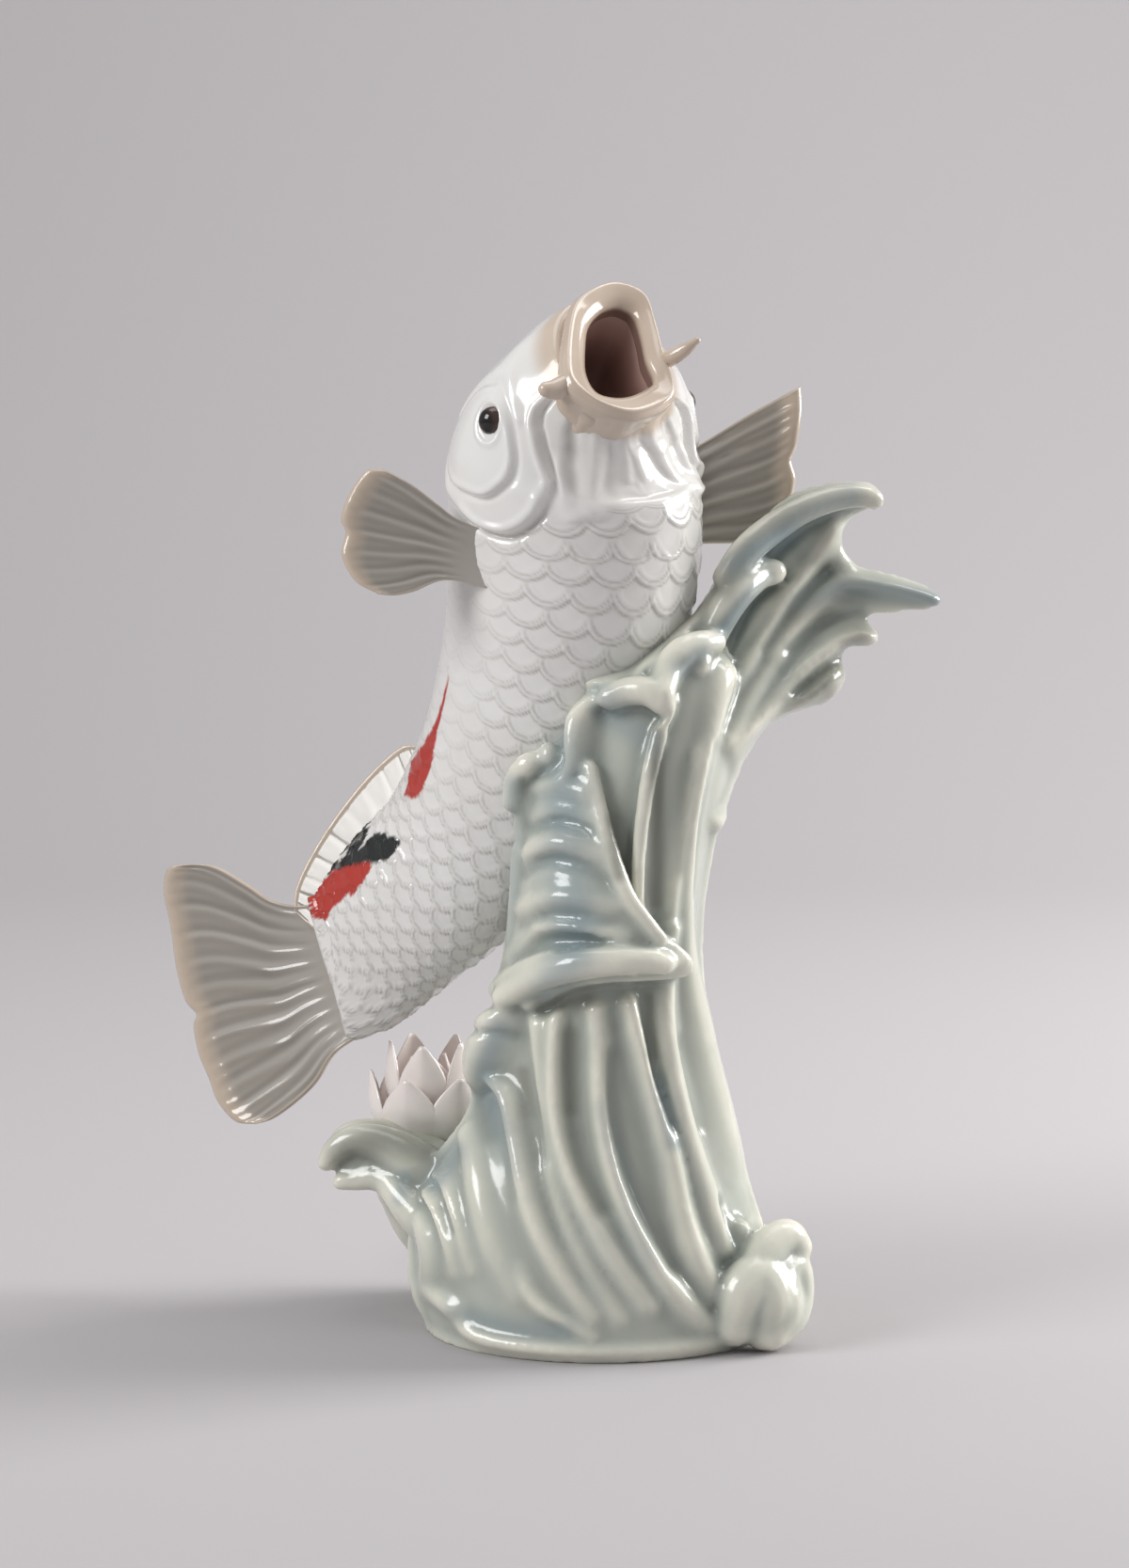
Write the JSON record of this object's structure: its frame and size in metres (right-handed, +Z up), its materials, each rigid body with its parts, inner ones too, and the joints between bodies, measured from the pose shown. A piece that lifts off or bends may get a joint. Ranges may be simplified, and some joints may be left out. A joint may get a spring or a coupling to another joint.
{
  "type": "fish figurine",
  "caption": "Glazed porcelain koi leaping upright out of a curling celadon wave with a small water lily at its foot; stands on a flat base.",
  "frame": {"origin": "middle of the flat underside of the base", "axes": "+Z up; +X to the right of the figure as it is shown, on the crest's side; +Y to the back of the figure as it is shown"},
  "size_m": [0.281, 0.1267, 0.3694],
  "materials": {
    "white_glaze": "glossy white glaze over porcelain, with painted patches",
    "mouth_glaze": "glossy mauve-brown glaze",
    "eye_glaze": "glossy dark brown glaze",
    "fin_glaze": "glossy warm grey glaze, beige at the rims",
    "wave_glaze": "glossy celadon glaze, cream on ridges, blue-grey in hollows",
    "lily_glaze": "glossy off-white glaze with pink tips",
    "stamen_glaze": "glossy pink glaze"
  },
  "bodies": {
    "root": {"barbel_left": "white_glaze", "barbel_right": "white_glaze", "dorsal_fin": "fin_glaze", "eye_left": "eye_glaze", "eye_right": "eye_glaze", "fish_body": "white_glaze", "front_lip": "wave_glaze", "front_tongue": "wave_glaze", "inner_petal_1": "lily_glaze", "inner_petal_2": "lily_glaze", "inner_petal_3": "lily_glaze", "inner_petal_4": "lily_glaze", "left_curl": "wave_glaze", "left_finger": "wave_glaze", "left_rim": "wave_glaze", "lily_heart": "lily_glaze", "lily_stamens": "stamen_glaze", "lips": "white_glaze", "middle_petal_1": "lily_glaze", "middle_petal_2": "lily_glaze", "middle_petal_3": "lily_glaze", "middle_petal_4": "lily_glaze", "middle_petal_5": "lily_glaze", "middle_ridge": "wave_glaze", "mouth_cup": "mouth_glaze", "outer_petal_1": "lily_glaze", "outer_petal_2": "lily_glaze", "outer_petal_3": "lily_glaze", "outer_petal_4": "lily_glaze", "outer_petal_5": "lily_glaze", "outer_petal_6": "lily_glaze", "pectoral_fin_left": "fin_glaze", "pectoral_fin_right": "fin_glaze", "right_curl": "wave_glaze", "small_tongue": "wave_glaze", "tail_fin": "fin_glaze", "wave_column": "wave_glaze", "wave_crest": "wave_glaze"}
  },
  "joints": []
}
